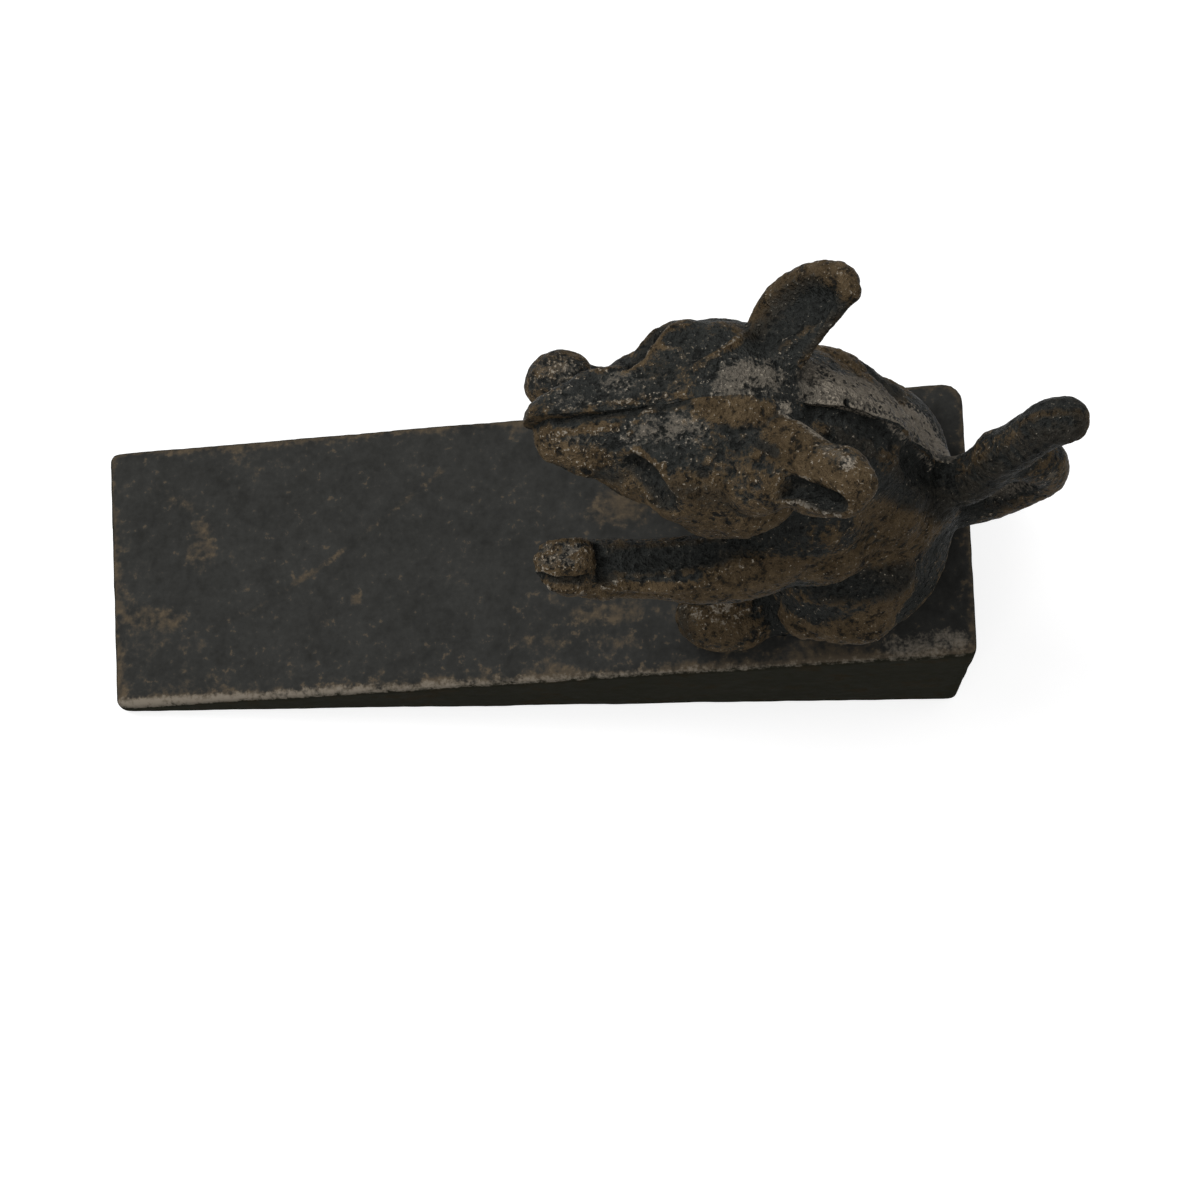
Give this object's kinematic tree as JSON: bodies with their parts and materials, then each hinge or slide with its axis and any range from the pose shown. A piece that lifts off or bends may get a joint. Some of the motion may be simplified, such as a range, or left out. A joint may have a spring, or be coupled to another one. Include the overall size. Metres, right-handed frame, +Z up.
{
  "type": "wedge paperweight with mouse figure",
  "caption": "Cast-iron wedge that lies flat as a paperweight or doorstop, with a mouse standing on its thick end and pushing forward, tail curled behind.",
  "frame": {"origin": "middle of the wedge's underside, on the flat of its cross rib, at the height of the table", "axes": "+X along the wedge towards its thick end, +Z up; the mouse faces -X and its left side is -Y"},
  "size_m": [0.1606, 0.0474, 0.1084],
  "materials": {
    "blackened_iron": "as-cast blackened iron, fine pitting, brown rub-through on the high spots",
    "base_iron": "as-cast blackened iron, smoother, with faint rust patches and worn edges",
    "screw_steel": "darkened steel"
  },
  "bodies": {
    "root": {"base_wedge": "base_iron", "mouse_left_half": "blackened_iron", "mouse_right_half": "blackened_iron", "cross_screw": "screw_steel", "base_screw_left": "screw_steel", "base_screw_right": "screw_steel"}
  },
  "joints": []
}
